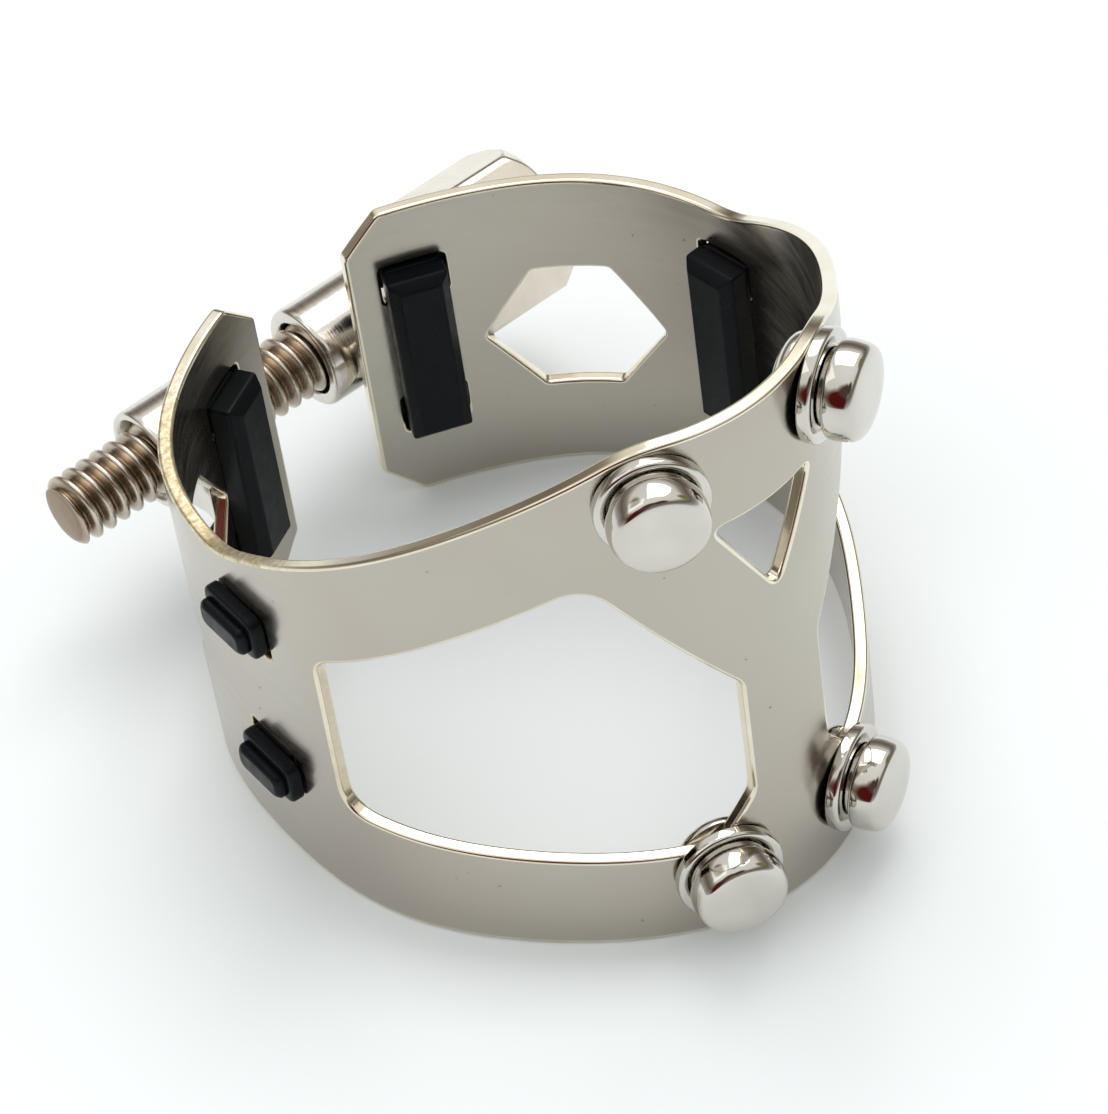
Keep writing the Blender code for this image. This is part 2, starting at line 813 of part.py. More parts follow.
def main():
    clear_scene()
    plate = make_material("plated_band", (0.78, 0.76, 0.73), 0.18, 1.0)
    stud_metal = make_material("polished_stud", (0.82, 0.80, 0.76), 0.08, 1.0)
    rubber = make_material("black_rubber", (0.015, 0.015, 0.018), 0.5, 0.0)
    nickel = make_material("warm_nickel", (0.66, 0.60, 0.52), 0.25, 1.0)
    barrel_metal = make_material("plated_barrel", (0.74, 0.71, 0.67), 0.2, 1.0)
    make_band(plate)
    make_studs(stud_metal)
    pads = make_pads(rubber)
    left_end = on_band(END_LEFT, 0.0, 0.0).x
    right_end = on_band(END_RIGHT, 0.0, 0.0).x
    left = make_barrel("barrel_left", LEFT_BARREL_X, LEFT_BORE_R, left_end, barrel_metal)
    make_barrel("barrel_right", RIGHT_BARREL_X, RIGHT_BORE_R, right_end, barrel_metal)
    screw = make_screw(nickel)
    knob = make_knob(nickel)
    hinge = add_axis("wing_hinge", on_band(HINGE_S, 0.0))
    for obj in (pads[0], pads[1], left):
        attach(obj, hinge)
    turn = add_axis("screw_axis", (0.0, SCREW_Y, SCREW_Z))
    for obj in (screw, knob):
        attach(obj, turn)


main()
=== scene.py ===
"""Looks of a single-screw saxophone ligature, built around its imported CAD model.

Lengths are in millimetres from the ring's axis until a mesh is made: the ring's axis
is +Z, the reed plate faces -Y, and the gap with the screw is at +Y.
"""
import math

import bmesh
import bpy
import numpy as np
from mathutils import Matrix, Vector
from mathutils.geometry import delaunay_2d_cdt


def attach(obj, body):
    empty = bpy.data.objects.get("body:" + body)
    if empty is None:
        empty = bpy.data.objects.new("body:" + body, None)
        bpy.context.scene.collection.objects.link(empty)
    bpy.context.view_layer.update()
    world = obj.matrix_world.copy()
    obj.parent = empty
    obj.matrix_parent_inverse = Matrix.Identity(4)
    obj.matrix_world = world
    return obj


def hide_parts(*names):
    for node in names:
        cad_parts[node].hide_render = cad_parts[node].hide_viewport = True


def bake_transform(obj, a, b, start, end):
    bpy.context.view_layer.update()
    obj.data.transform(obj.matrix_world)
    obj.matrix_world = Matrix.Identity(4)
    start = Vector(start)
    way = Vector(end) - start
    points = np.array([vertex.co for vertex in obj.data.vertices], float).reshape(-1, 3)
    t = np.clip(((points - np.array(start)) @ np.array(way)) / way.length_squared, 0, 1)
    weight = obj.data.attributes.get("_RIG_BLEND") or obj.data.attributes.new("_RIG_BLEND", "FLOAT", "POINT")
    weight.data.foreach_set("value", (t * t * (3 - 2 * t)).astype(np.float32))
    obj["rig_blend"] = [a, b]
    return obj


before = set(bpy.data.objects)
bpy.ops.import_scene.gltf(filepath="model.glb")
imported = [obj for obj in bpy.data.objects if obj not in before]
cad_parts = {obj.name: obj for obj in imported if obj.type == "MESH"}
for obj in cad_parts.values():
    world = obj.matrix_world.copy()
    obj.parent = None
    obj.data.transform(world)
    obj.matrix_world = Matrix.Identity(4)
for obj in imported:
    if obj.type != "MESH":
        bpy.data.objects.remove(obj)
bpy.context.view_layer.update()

MM = 0.001
FOOTPRINT_MIDDLE = np.array((0.876, 0.046, 0.0))

# Rolled band: middle of the sheet, every 30 degrees from the reed plate towards +X.
PLAN_RADII = (16.2, 14.5, 13.6, 13.9, 13.7, 12.8, 12.8, 12.4, 12.3, 12.1, 13.2, 14.6)
SHEET = 0.6
RIM_FILLET = 0.15
WING_HEIGHT = 15.3
REED_HEIGHT = 25.4
REED_TOP_HALF = 4.7
WING_START = 23.6
END_LEFT = -39.9
END_RIGHT = 41.0
END_CHAMFER = 1.7
END_ROUND = 0.5
TOP_ROUND = 5.0

# Large windows beside the strut, the triangle above it and the wings' hexagons.
WINDOW_SIDE = 18.1
WINDOW_SIDE_TOP = 13.2
WINDOW_SIDE_BOTTOM = 5.2
WINDOW_PEAK = 6.9
WINDOW_PEAK_TOP = 19.3
REED_CENTRE = 0.25
STRUT_HALF = 1.95
STRUT_TOP = 12.5
STRUT_FOOT = 6.6
WINDOW_SILL = 4.4
WINDOW_SILL_START = 3.6
WINDOW_ROUND = 1.3
WINDOW_PEAK_ROUND = 1.5
STRUT_ROUND = 1.0
TRIANGLE_HALF = 2.4
TRIANGLE_TOP = 20.6
TRIANGLE_BOTTOM = 16.3
TRIANGLE_ROUND = 0.35
HEX_CENTRE_S = 31.6
HEX_CENTRE_Z = 7.5
HEX_HALF_WIDTH = 3.95
HEX_HALF_FLAT = 1.65
HEX_HALF_HEIGHT = 3.15
HEX_ROUND = 0.35

# Rubber pads: distance along the band and height of each pad's middle.
PADS = {
    "left_end": (-36.8, 8.0),
    "left_side": (-22.2, 8.95),
    "right_side": (24.0, 8.95),
    "right_end": (38.2, 8.0),
}
PAD_LENGTH = 8.6
PAD_WIDTH = 2.6
PAD_THICK = 1.15
PAD_BEVEL = 0.42
PAD_BACK_GAP = 0.05
PAD_FACE_GAP = 0.18
PAD_CORNER = 0.14
TAB_CORNER = 0.15
HEAD_CORNER = 0.55
RIDGE_CORNER = 0.40
TAB_OFFSET_Z = 3.55
HEAD_OFFSET_Z = 3.85
HEAD_SHIFT_S = 0.2
SLOT_WIDTH = 2.8
SLOT_HEIGHT = 1.9
SLOT_ROUND = 0.25
TAB_WIDTH = 2.5
TAB_HEIGHT = 1.3
HEAD_HALF_LENGTH = 1.65
HEAD_HALF_HEIGHT = 1.0
HEAD_THICK = 0.55
RIDGE_HALF_LENGTH = 1.4
RIDGE_HALF_HEIGHT = 0.62
RIDGE_THICK = 0.5

# Rivet studs on the reed plate.
STUDS = {
    "upper_left": (-4.2, 23.0),
    "upper_right": (3.7, 23.3),
    "lower_left": (-3.1, 3.2),
    "lower_right": (3.2, 3.2),
}
STUD_HOLE_R = 0.8
STUD_SHANK_R = 0.78
DOME_R = 1.8
DOME_HIGH = 0.9
WASHER_R = 2.15
WASHER_THICK = 0.5
CAP_R = 1.85
CAP_NECK_R = 1.45
CAP_NECK = 0.25
CAP_HIGH = 1.3
CAP_CROWN = 0.05
DOME_GAP = 0.02
DOME_RIM = 0.12
WASHER_SEAT = 0.01
WASHER_GAP = 0.05

# Screw across the gap, parallel to X.
SCREW_Y = 15.3
SCREW_Z = 7.0
SCREW_R = 1.55
SCREW_ROOT_R = 1.17
SCREW_PITCH = 0.7
SCREW_TIP_X = -10.9
SCREW_END_X = 10.0
SCREW_FACE_R = 0.9
THREAD_END_X = 1.6
THREAD_RUNOUT = 0.6
THREAD_ROOT_SHARE = 0.10
THREAD_FLANK_SHARE = 0.72
THREAD_EASE = 0.35
SCREW_SEGMENTS = 64
SCREW_TURN_STEPS = 14
BARREL_R = 2.3
LEFT_BARREL_X = (-6.6, -2.1)
RIGHT_BARREL_X = (1.8, 8.3)
LEFT_BORE_R = 1.88
RIGHT_BORE_R = 1.65
LEFT_FOOT_X = (-6.2, -2.6)
RIGHT_FOOT_X = (3.3, 7.9)
BARREL_ROUND = 0.30
BORE_CHAMFER = 0.12
FOOT_RINGS = 15
FOOT_STEP = 0.3
FOOT_ROUND = 0.35
FOOT_REACH = 0.3
FOOT_HALF = 1.55
FOOT_WAIST = 0.32
FOOT_FLARE = 0.32
FOOT_START = 1.75
FOOT_SINK = 0.12
KNOB_X = (8.6, 14.4)
KNOB_FLATS_R = 3.2
KNOB_CORNER_R = 3.58
KNOB_SOFTEN = 0.55
KNOB_EDGE_ROUND = 0.16
KNOB_EDGE_DEPTH = 0.15
KNOB_CONE_START = 0.06
KNOB_CONE_SLOPE = 0.62
KNOB_SEGMENTS = 216
KNOB_END_STEPS = (0.0, 0.03, 0.08, 0.15, 0.24, 0.34, 0.46, 0.60, 0.76, 0.95)
KNOB_DISH = ((2.7, 0.0), (2.55, 0.05), (2.4, 0.07), (0.5, 0.07))
COLLAR_WIDTH = 0.55
COLLAR_THICK = 0.3
COLLAR_OUT = 0.22

# The most of a side that one rounded corner takes up, in a profile and in an outline.
PROFILE_CUT = 0.48
OUTLINE_CUT = 0.45

# How finely the band is divided: along its outlines, and between them.
OUTLINE_STEP = 0.45
GRID_STEP_S = 0.6
GRID_STEP_Z = 0.8
GRID_CLEARANCE = 0.3
RIM_STEPS = 3

# Linear colours, as pairs where noise mixes two of them.
PLATE = ((0.47, 0.420, 0.368), (0.49, 0.468, 0.405))
PLATE_SPECK = (0.26, 0.21, 0.17)
EDGE_NICKEL = ((0.76, 0.68, 0.52), (0.85, 0.80, 0.68))
EDGE_BRASS = ((0.50, 0.38, 0.20), (0.85, 0.77, 0.56))
STUD_NICKEL = ((0.60, 0.575, 0.525), (0.66, 0.635, 0.59))
RUBBER = (0.0035, 0.0045, 0.006)
RUBBER_DUST = (0.020, 0.022, 0.025)
BARREL_NICKEL = ((0.66, 0.62, 0.56), (0.74, 0.71, 0.66))
SCREW_NICKEL = ((0.60, 0.52, 0.42), (0.70, 0.64, 0.56))
# Painted shade for the thread's roots: a dark brown laid where the shank's radius is small.
THREAD_ROOT_SHADE = (0.24, 0.17, 0.11)
KNOB_NICKEL = ((0.74, 0.67, 0.57), (0.80, 0.74, 0.65))
TABLE_WHITE = (0.90, 0.915, 0.92)

# The worn brass edge is where x is under the first pair and y over the second, in mm.
WORN_X = (-10.0, -7.0)
WORN_Y = (-5.0, -2.0)

# Room seen in reflections: colours by height, then patches around a direction, each
# with the cosines where it is full and where it ends.
ROOM_FLOOR = (0.60, 0.61, 0.62)
ROOM_CEILING = (1.0, 1.0, 0.99)
ROOM_HEIGHTS = (
    (0.10, (0.38, 0.37, 0.34)),
    (0.30, (0.16, 0.13, 0.11)),
    (0.48, (0.34, 0.31, 0.27)),
    (0.62, (0.88, 0.87, 0.84)),
)
ROOM_PATCHES = (
    ((-0.84, -0.42, 0.33), 0.960, 0.890, (0.10, 0.010, 0.008)),
    ((-0.55, -0.52, 0.62), 0.975, 0.945, (0.10, 0.06, 0.05)),
    ((-0.22, -0.72, 0.60), 0.985, 0.960, (0.07, 0.06, 0.05)),
    ((0.73, -0.36, 0.49), 0.985, 0.955, (0.24, 0.22, 0.10)),
    ((-0.35, 0.55, 0.72), 0.990, 0.970, (0.16, 0.13, 0.05)),
)
DOME_COLOUR = (0.86, 0.89, 0.885)

# Area lights in metres and watts: name, place, side, power and colour.
LIGHTS = (
    ("key", (0.22, 0.17, 0.58), 0.42, 1.38, (1.0, 0.995, 0.985)),
    ("fill", (-0.30, 0.25, 0.50), 0.40, 0.25, (0.96, 0.98, 1.0)),
)
LIGHT_TARGET = (0.0, 0.0, 0.01)
TABLE_HALF = 1.5
TABLE_DROP = 0.0001

# The view: high three-quarter, from the reed plate's left side, tilted a little.
CAMERA_AZIMUTH = -35.08
CAMERA_ELEVATION = 44.19
CAMERA_ROLL = -8.83
CAMERA_DISTANCE = 170.8
CAMERA_TARGET = (0.0, 0.0, 12.0)
CAMERA_SHIFT = (1.84, -3.98)
CAMERA_LENS = 142.05
CAMERA_SENSOR = 36.0

# The left wing bends along this stretch of the band.
BEND_START_S = -6.5
BEND_END_S = -19.6


def plan_table():
    """Arc length, position and outward direction along the middle of the sheet."""
    coefficients = np.fft.rfft(np.array(PLAN_RADII)) / len(PLAN_RADII)
    angles = np.linspace(-math.pi, math.pi, 5761)
    radius = np.full_like(angles, coefficients[0].real)
    for order in range(1, len(coefficients)):
        factor = 1.0 if order == len(coefficients) - 1 else 2.0
        wave = coefficients[order] * np.exp(1j * order * angles)
        radius = radius + factor * wave.real
    x = radius * np.sin(angles)
    y = -radius * np.cos(angles)
    lengths = np.concatenate([[0.0], np.cumsum(np.hypot(np.diff(x), np.diff(y)))])
    lengths -= np.interp(0.0, angles, lengths)
    tangent_x = np.gradient(x, lengths)
    tangent_y = np.gradient(y, lengths)
    return lengths, x, y, tangent_y, -tangent_x


PLAN = plan_table()


def outward_at(s):
    """Unit outward directions in plan at arc lengths s, as two arrays."""
    nx = np.interp(s, PLAN[0], PLAN[3])
    ny = np.interp(s, PLAN[0], PLAN[4])
    size = np.hypot(nx, ny)
    return nx / size, ny / size


def on_band(s, z, offset=0.0):
    """Points on the band at arc length s and height z, moved out from mid-sheet."""
    s, z, offset = np.broadcast_arrays(*(np.asarray(v, float) for v in (s, z, offset)))
    nx, ny = outward_at(s)
    px = np.interp(s, PLAN[0], PLAN[1]) + offset * nx
    py = np.interp(s, PLAN[0], PLAN[2]) + offset * ny
    return np.stack([px, py, z], axis=-1)


def band_frame(s, z):
    """Local axes on the band: along the sheet, up, and outwards."""
    nx, ny = outward_at(s)
    outward = Vector((float(nx), float(ny), 0.0))
    up = Vector((0.0, 0.0, 1.0))
    matrix = Matrix((up.cross(outward), up, outward)).transposed().to_4x4()
    matrix.translation = Vector(on_band(s, z))
    return matrix


# ---------------------------------------------------------------- materials


def new_material(name):
    material = bpy.data.materials.new(name)
    material.use_nodes = True
    return material, material.node_tree, material.node_tree.nodes["Principled BSDF"]


def noise(tree, scale, detail, stretch=(1.0, 1.0, 1.0), roughness=0.5):
    """Noise in the object's own coordinates, in millimetres."""
    coordinates = tree.nodes.new("ShaderNodeTexCoord")
    mapping = tree.nodes.new("ShaderNodeMapping")
    mapping.inputs["Scale"].default_value = [v / MM for v in stretch]
    texture = tree.nodes.new("ShaderNodeTexNoise")
    texture.inputs["Scale"].default_value = scale
    texture.inputs["Detail"].default_value = detail
    texture.inputs["Roughness"].default_value = roughness
    tree.links.new(coordinates.outputs["Object"], mapping.inputs["Vector"])
    tree.links.new(mapping.outputs["Vector"], texture.inputs["Vector"])
    return texture.outputs["Fac"]


def ramp(tree, value, low, high, from_low=0.3, from_high=0.7):
    """The value's range from_low to from_high, stretched to run from low to high."""
    node = tree.nodes.new("ShaderNodeMapRange")
    node.inputs["From Min"].default_value = from_low
    node.inputs["From Max"].default_value = from_high
    node.inputs["To Min"].default_value = low
    node.inputs["To Max"].default_value = high
    tree.links.new(value, node.inputs["Value"])
    return node.outputs["Result"]


def product(tree, first, second):
    node = tree.nodes.new("ShaderNodeMath")
    node.operation = "MULTIPLY"
    tree.links.new(first, node.inputs[0])
    tree.links.new(second, node.inputs[1])
    return node.outputs["Value"]


def mix_colours(tree, factor, first, second):
    """Mixes two colours, each a tuple or a socket; index 6 and 7 are A and B in RGBA."""
    node = tree.nodes.new("ShaderNodeMix")
    node.data_type = "RGBA"
    for index, colour in ((6, first), (7, second)):
        if isinstance(colour, tuple):
            node.inputs[index].default_value = (*colour, 1.0)
        else:
            tree.links.new(colour, node.inputs[index])
    tree.links.new(factor, node.inputs[0])
    return node.outputs[2]


def add_bump(tree, shader, value, distance, strength=1.0):
    bump = tree.nodes.new("ShaderNodeBump")
    bump.inputs["Strength"].default_value = strength
    bump.inputs["Distance"].default_value = distance * MM
    tree.links.new(value, bump.inputs["Height"])
    tree.links.new(bump.outputs["Normal"], shader.inputs["Normal"])


def plate_material():
    """Polished nickel plate on rolled sheet: clear gradients, faint waves and wipes."""
    material, tree, shader = new_material("nickel_plate")
    shader.inputs["Metallic"].default_value = 1.0
    tint = ramp(tree, noise(tree, 0.10, 2), 0.0, 1.0)
    colour = mix_colours(tree, tint, *PLATE)
    specks = ramp(tree, noise(tree, 2.3, 2), 0.0, 1.0, 0.74, 0.80)
    colour = mix_colours(tree, specks, colour, PLATE_SPECK)
    tree.links.new(colour, shader.inputs["Base Color"])
    wipes = noise(tree, 0.9, 5, (0.35, 0.35, 3.0), 0.65)
    tree.links.new(ramp(tree, wipes, 0.15, 0.25), shader.inputs["Roughness"])
    add_bump(tree, shader, noise(tree, 0.45, 2), 0.006)
    return material


def rim_material():
    """The sheet's cut edge: smooth nickel, but rough warm brass on the left wing."""
    material, tree, shader = new_material("cut_edge")
    shader.inputs["Metallic"].default_value = 1.0
    coordinates = tree.nodes.new("ShaderNodeTexCoord")
    split = tree.nodes.new("ShaderNodeSeparateXYZ")
    tree.links.new(coordinates.outputs["Object"], split.inputs[0])
    left = ramp(tree, split.outputs["X"], 1.0, 0.0, *(v * MM for v in WORN_X))
    behind = ramp(tree, split.outputs["Y"], 0.0, 1.0, *(v * MM for v in WORN_Y))
    worn = product(tree, left, behind)
    grains = ramp(tree, noise(tree, 3.2, 5, (1.0, 1.0, 1.0), 0.7), 0.0, 1.0, 0.36, 0.62)
    rough = mix_colours(tree, grains, *EDGE_BRASS)
    tint = ramp(tree, noise(tree, 0.5, 2), 0.0, 1.0)
    smooth = mix_colours(tree, tint, *EDGE_NICKEL)
    colour = mix_colours(tree, worn, smooth, rough)
    tree.links.new(colour, shader.inputs["Base Color"])
    tree.links.new(ramp(tree, worn, 0.13, 0.36, 0.0, 1.0), shader.inputs["Roughness"])
    grit = noise(tree, 2.6, 5, (1.0, 1.0, 0.5), 0.7)
    add_bump(tree, shader, product(tree, grit, worn), 0.02)
    return material


def stud_material():
    """Mirror-bright nickel with the slightest unevenness."""
    material, tree, shader = new_material("mirror_nickel")
    shader.inputs["Metallic"].default_value = 1.0
    tint = ramp(tree, noise(tree, 0.5, 2), 0.0, 1.0)
    tree.links.new(mix_colours(tree, tint, *STUD_NICKEL), shader.inputs["Base Color"])
    tree.links.new(ramp(tree, noise(tree, 2.5, 4), 0.03, 0.08), shader.inputs["Roughness"])
    add_bump(tree, shader, noise(tree, 0.8, 2), 0.004)
    return material


def rubber_material():
    """Black moulded rubber, a little glossy, with fine dust."""
    material, tree, shader = new_material("black_rubber_pad")
    shader.inputs["Metallic"].default_value = 0.0
    dust = ramp(tree, noise(tree, 4.0, 6, (1.0, 1.0, 1.0), 0.7), 0.0, 1.0, 0.62, 0.8)
    colour = mix_colours(tree, dust, RUBBER, RUBBER_DUST)
    tree.links.new(colour, shader.inputs["Base Color"])
    tree.links.new(ramp(tree, noise(tree, 1.5, 4), 0.26, 0.42), shader.inputs["Roughness"])
    shader.inputs["Specular IOR Level"].default_value = 0.12
    add_bump(tree, shader, noise(tree, 9.0, 3), 0.004)
    return material


def turned_material(name, colours, roughness):
    """Turned and plated metal with faint tool marks around the screw's axis."""
    material, tree, shader = new_material(name)
    shader.inputs["Metallic"].default_value = 1.0
    tint = ramp(tree, noise(tree, 0.9, 4), 0.0, 1.0)
    tree.links.new(mix_colours(tree, tint, *colours), shader.inputs["Base Color"])
    marks = noise(tree, 1.2, 4, (9.0, 0.6, 0.6))
    spread = ramp(tree, marks, roughness - 0.06, roughness + 0.08)
    tree.links.new(spread, shader.inputs["Roughness"])
    add_bump(tree, shader, marks, 0.004)
    return material


def thread_material():
    """Nickel on the thread, with painted shade darkening the roots."""
    material = turned_material("screw_nickel", SCREW_NICKEL, 0.24)
    tree = material.node_tree
    shader = tree.nodes["Principled BSDF"]
    plain = shader.inputs["Base Color"].links[0].from_socket
    coordinates = tree.nodes.new("ShaderNodeTexCoord")
    flat = tree.nodes.new("ShaderNodeVectorMath")
    flat.operation = "MULTIPLY"
    flat.inputs[1].default_value = (0.0, 1.0, 1.0)
    length = tree.nodes.new("ShaderNodeVectorMath")
    length.operation = "LENGTH"
    tree.links.new(coordinates.outputs["Object"], flat.inputs[0])
    tree.links.new(flat.outputs[0], length.inputs[0])
    # Painted shade: colour runs from the dark root colour at the root radius to plain nickel at the crest.
    radii = (SCREW_ROOT_R * MM, SCREW_R * MM)
    crest = ramp(tree, length.outputs["Value"], 0.0, 1.0, *radii)
    colour = mix_colours(tree, crest, THREAD_ROOT_SHADE, plain)
    tree.links.new(colour, shader.inputs["Base Color"])
    return material


# ---------------------------------------------------------------- mesh tools


def make_object(name, points, faces, material, origin=(0.0, 0.0, 0.0), normals=None):
    """An object from points in millimetres; normals, if given, are one per point."""
    origin = np.array(origin, float)
    shifted = (np.array(points, float) - origin) * MM
    mesh = bpy.data.meshes.new(name)
    mesh.from_pydata(shifted.tolist(), [], faces)
    mesh.shade_smooth()
    mesh.materials.append(material)
    if normals is not None:
        mesh.normals_split_custom_set_from_vertices(np.array(normals).tolist())
    obj = bpy.data.objects.new(name, mesh)
    obj.location = (origin - FOOTPRINT_MIDDLE) * MM
    bpy.context.scene.collection.objects.link(obj)
    return obj


def recalculate(obj):
    """Turns every face outwards."""
    shape = bmesh.new()
    shape.from_mesh(obj.data)
    bmesh.ops.recalc_face_normals(shape, faces=shape.faces)
    shape.to_mesh(obj.data)
    shape.free()


def even_normals(obj):
    """Large faces keep their own direction and only the small fillets are rounded."""
    modifier = obj.modifiers.new("even_normals", "WEIGHTED_NORMAL")
    modifier.keep_sharp = False
    modifier.weight = 70


def eased(line, radii, steps=4):
    """An open line of 2D points with its inner corners rounded."""
    result = [tuple(line[0])]
    for index in range(1, len(line) - 1):
        here = np.array(line[index], float)
        before = np.array(line[index - 1]) - here
        after = np.array(line[index + 1]) - here
        radius = radii[index] if isinstance(radii, (list, tuple)) else radii
        cut_before = min(radius, PROFILE_CUT * np.linalg.norm(before))
        cut_after = min(radius, PROFILE_CUT * np.linalg.norm(after))
        start = here + before / np.linalg.norm(before) * cut_before
        end = here + after / np.linalg.norm(after) * cut_after
        for t in np.linspace(0.0, 1.0, steps + 1):
            point = (1 - t) ** 2 * start + 2 * t * (1 - t) * here + t * t * end
            result.append((float(point[0]), float(point[1])))
    result.append(tuple(line[-1]))
    return result


def rounded(corners, radii, steps=8):
    """A closed polygon with each corner replaced by an arc of its radius."""
    result = []
    count = len(corners)
    for index, corner in enumerate(corners):
        here = np.array(corner, float)
        before = np.array(corners[index - 1]) - here
        after = np.array(corners[(index + 1) % count]) - here
        before_length = np.linalg.norm(before)
        after_length = np.linalg.norm(after)
        cosine = np.dot(before, after) / (before_length * after_length)
        radius = radii[index] if isinstance(radii, (list, tuple)) else radii
        cut = radius / math.tan(math.acos(max(-1.0, min(1.0, cosine))) / 2)
        cut = min(cut, OUTLINE_CUT * before_length, OUTLINE_CUT * after_length)
        start = here + before / before_length * cut
        end = here + after / after_length * cut
        for t in np.linspace(0.0, 1.0, steps + 1):
            point = (1 - t) ** 2 * start + 2 * t * (1 - t) * here + t * t * end
            result.append((float(point[0]), float(point[1])))
    return result


def loft(rings):
    """Points and faces of a solid through equal rings of points, with both ends closed."""
    count = len(rings[0])
    points = [tuple(p) for ring in rings for p in ring]
    faces = [tuple(reversed(range(count)))]
    for level in range(len(rings) - 1):
        low = level * count
        for k in range(count):
            n = (k + 1) % count
            faces.append((low + k, low + n, low + count + n, low + count + k))
    last = (len(rings) - 1) * count
    faces.append(tuple(last + k for k in range(count)))
    return points, faces


def block(half_u, half_v, corner, profile, centre=(0.0, 0.0)):
    """A rounded rectangle lofted along (inset, height) pairs."""
    rings = []
    for inset, height in profile:
        u = half_u - inset
        v = half_v - inset
        radius = max(0.04, min(corner - 0.3 * inset, 0.9 * min(u, v)))
        corners = [(-u, -v), (u, -v), (u, v), (-u, v)]
        outline = rounded(corners, radius, 6)
        rings.append([(centre[0] + p[0], centre[1] + p[1], height) for p in outline])
    return loft(rings)


def joined(*shapes):
    """One list of points and one of faces from several (points, faces) shapes."""
    points = []
    faces = []
    for more_points, more_faces in shapes:
        first = len(points)
        points.extend(more_points)
        faces.extend(tuple(first + k for k in face) for face in more_faces)
    return points, faces


def placed(points, matrix):
    return [tuple(matrix @ Vector(p)) for p in points]


def spin(profile, segments=96):
    """A solid of revolution about local Z from (radius, height) pairs."""
    points = []
    rings = []
    for radius, height in profile:
        first = len(points)
        if radius < 1e-6:
            rings.append([first])
            points.append((0.0, 0.0, height))
            continue
        rings.append(list(range(first, first + segments)))
        for k in range(segments):
            angle = 2 * math.pi * k / segments
            points.append((radius * math.cos(angle), radius * math.sin(angle), height))
    pairs = list(zip(rings, rings[1:]))
    if len(rings[0]) > 1:
        pairs.append((rings[-1], rings[0]))
    faces = []
    for low, high in pairs:
        for k in range(segments):
            n = (k + 1) % segments
            if len(low) == 1:
                faces.append((low[0], high[n], high[k]))
            elif len(high) == 1:
                faces.append((low[k], low[n], high[0]))
            else:
                faces.append((low[k], low[n], high[n], high[k]))
    return points, faces


# ---------------------------------------------------------------- the band


def band_outline():
    corners = [
        (END_LEFT, END_CHAMFER),
        (END_LEFT + END_CHAMFER, 0.0),
        (END_RIGHT - END_CHAMFER, 0.0),
        (END_RIGHT, END_CHAMFER),
        (END_RIGHT, WING_HEIGHT - END_CHAMFER),
        (END_RIGHT - END_CHAMFER, WING_HEIGHT),
        (WING_START, WING_HEIGHT),
        (REED_TOP_HALF, REED_HEIGHT),
        (-REED_TOP_HALF, REED_HEIGHT),
        (-WING_START, WING_HEIGHT),
        (END_LEFT + END_CHAMFER, WING_HEIGHT),
        (END_LEFT, WING_HEIGHT - END_CHAMFER),
    ]
    radii = [END_ROUND] * 6 + [TOP_ROUND] * 4 + [END_ROUND] * 2
    return rounded(corners, radii, 14)


def large_window(side):
    corners = [
        (REED_CENTRE + side * STRUT_HALF, STRUT_FOOT),
        (REED_CENTRE + side * WINDOW_SILL_START, WINDOW_SILL),
        (side * WINDOW_SIDE, WINDOW_SIDE_BOTTOM),
        (side * WINDOW_SIDE, WINDOW_SIDE_TOP),
        (side * WINDOW_PEAK, WINDOW_PEAK_TOP),
        (REED_CENTRE + side * STRUT_HALF, STRUT_TOP),
    ]
    radii = [WINDOW_ROUND] * 4 + [WINDOW_PEAK_ROUND, STRUT_ROUND]
    return rounded(corners, radii)


def triangle_window():
    corners = [
        (REED_CENTRE - TRIANGLE_HALF, TRIANGLE_TOP),
        (REED_CENTRE, TRIANGLE_BOTTOM),
        (REED_CENTRE + TRIANGLE_HALF, TRIANGLE_TOP),
    ]
    return rounded(corners, TRIANGLE_ROUND)


def hexagon_window(side):
    middle = side * HEX_CENTRE_S
    low = HEX_CENTRE_Z - HEX_HALF_HEIGHT
    high = HEX_CENTRE_Z + HEX_HALF_HEIGHT
    corners = [
        (middle - HEX_HALF_WIDTH, HEX_CENTRE_Z),
        (middle - HEX_HALF_FLAT, low),
        (middle + HEX_HALF_FLAT, low),
        (middle + HEX_HALF_WIDTH, HEX_CENTRE_Z),
        (middle + HEX_HALF_FLAT, high),
        (middle - HEX_HALF_FLAT, high),
    ]
    return rounded(corners, HEX_ROUND)


def slot_hole(s, z):
    low = z - SLOT_HEIGHT / 2
    high = z + SLOT_HEIGHT / 2
    left = s - SLOT_WIDTH / 2
    right = s + SLOT_WIDTH / 2
    return rounded([(left, low), (right, low), (right, high), (left, high)], SLOT_ROUND)


def round_hole(s, z, radius):
    turns = np.linspace(0.0, 2 * math.pi, 32, endpoint=False)
    return [(s + radius * math.cos(a), z + radius * math.sin(a)) for a in turns]


def band_holes():
    holes = [large_window(-1), large_window(1), triangle_window()]
    holes.extend(hexagon_window(side) for side in (-1, 1))
    for s, z in PADS.values():
        holes.append(slot_hole(s, z - TAB_OFFSET_Z))
        holes.append(slot_hole(s, z + TAB_OFFSET_Z))
    holes.extend(round_hole(s, z, STUD_HOLE_R) for s, z in STUDS.values())
    return holes


def resampled(polygon, step):
    """The polygon with its edges divided into pieces no longer than the step."""
    result = []
    for index, start in enumerate(polygon):
        end = polygon[(index + 1) % len(polygon)]
        length = math.hypot(end[0] - start[0], end[1] - start[1])
        if length < 1e-4:
            continue
        pieces = max(1, math.ceil(length / step))
        for piece in range(pieces):
            t = piece / pieces
            s = start[0] + (end[0] - start[0]) * t
            result.append((s, start[1] + (end[1] - start[1]) * t))
    return result


